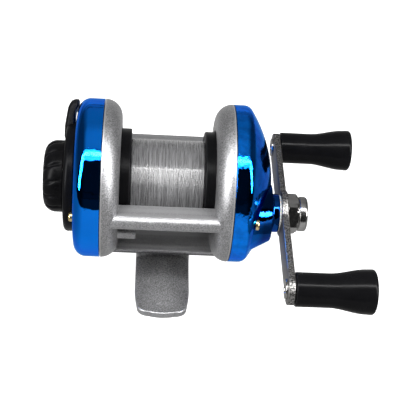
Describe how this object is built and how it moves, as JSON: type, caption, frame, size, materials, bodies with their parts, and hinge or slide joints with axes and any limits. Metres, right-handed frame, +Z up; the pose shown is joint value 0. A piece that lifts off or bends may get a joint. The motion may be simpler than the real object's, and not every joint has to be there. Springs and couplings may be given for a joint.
{
  "type": "baitcasting reel",
  "caption": "Small round-bodied baitcasting reel with an open frame, thumb rest, riveted foot, click lever, tension knob, geared spool and a double-knob handle.",
  "frame": {"origin": "centre of the foot's flat underside, where it sits on the rod", "axes": "+X along the spool axis towards the handle, +Y towards the rod tip, +Z up"},
  "size_m": [0.0906, 0.075, 0.0485],
  "materials": {
    "cast_silver": "satin, blasted, fine grain",
    "blue_chrome": "mirror-like blue plating",
    "black_plastic": "satin black",
    "black_gloss": "glossy black",
    "clear_line": "clear nylon monofilament, wound level",
    "nickel_steel": "nickel-plated",
    "steel": "bright",
    "brass": "bright",
    "bronze": "sintered",
    "nylon": "natural nylon"
  },
  "bodies": {
    "frame": {"frame": "cast_silver", "reel_foot": "cast_silver", "foot_rivets": "cast_silver", "left_cover": "blue_chrome", "left_cover_screws": "brass", "left_bushing": "bronze", "lever_ring": "steel", "tension_pad": "nylon", "tension_spring": "steel", "gear_plate": "steel", "gear_plate_screws": "brass", "right_bushing": "bronze", "inner_drive_bushing": "bronze", "outer_drive_bushing": "bronze", "pawl_pin": "steel", "right_cover": "blue_chrome", "right_cover_screws": "brass"},
    "spool": {"spool": "black_plastic", "spool_shaft": "steel", "line_winding": "clear_line", "click_gear": "nylon", "pinion": "brass"},
    "handle": {"drive_shaft": "steel", "drive_gear": "brass", "ratchet_wheel": "steel", "drive_shaft_clip": "steel", "handle_washer": "nylon", "handle_arm": "nickel_steel", "handle_nut": "nickel_steel", "rear_knob_pin": "nickel_steel", "front_knob_pin": "nickel_steel"},
    "rear_knob": {"rear_knob": "black_gloss"},
    "front_knob": {"front_knob": "black_gloss"},
    "tension_knob": {"tension_knob": "black_plastic"},
    "click_lever": {"click_lever": "black_plastic"},
    "click_pawl": {"click_pawl": "nylon"},
    "anti_reverse_pawl": {"anti_reverse_pawl": "steel"}
  },
  "joints": [
    {"name": "handle_spin", "type": "hinge", "parent": "frame", "child": "handle", "pos_m": [0.03, -0.0098, 0.02401], "axis": [1, 0, 0], "continuous": true},
    {"name": "spool_spin", "type": "hinge", "parent": "frame", "child": "spool", "pos_m": [0, 0, 0.026], "axis": [1, 0, 0], "continuous": true},
    {"name": "rear_knob_spin", "type": "hinge", "parent": "handle", "child": "rear_knob", "pos_m": [0.045, -0.0394, 0.02401], "axis": [1, 0, 0], "continuous": true},
    {"name": "front_knob_spin", "type": "hinge", "parent": "handle", "child": "front_knob", "pos_m": [0.045, 0.0198, 0.02401], "axis": [1, 0, 0], "continuous": true},
    {"name": "tension_knob_turn", "type": "hinge", "parent": "frame", "child": "tension_knob", "pos_m": [-0.032, 0, 0.026], "axis": [1, 0, 0], "range_deg": [-180, 180]},
    {"name": "click_lever_swing", "type": "hinge", "parent": "frame", "child": "click_lever", "pos_m": [-0.027, 0, 0.026], "axis": [1, 0, 0], "range_deg": [0, 40]},
    {"name": "click_pawl_slide", "type": "slide", "parent": "frame", "child": "click_pawl", "axis": [0, 0.5, 0.866], "range_m": [0, 0.0014]},
    {"name": "anti_reverse_pawl_tip", "type": "hinge", "parent": "frame", "child": "anti_reverse_pawl", "pos_m": [0.0192, -0.00747, 0.01531], "axis": [1, 0, 0], "range_deg": [0, 8]}
  ],
  "couplings": [
    {"joint": "spool_spin", "follows": "handle_spin", "ratio": -3},
    {"joint": "click_pawl_slide", "follows": "click_lever_swing", "m_per_rad": 0.002}
  ]
}
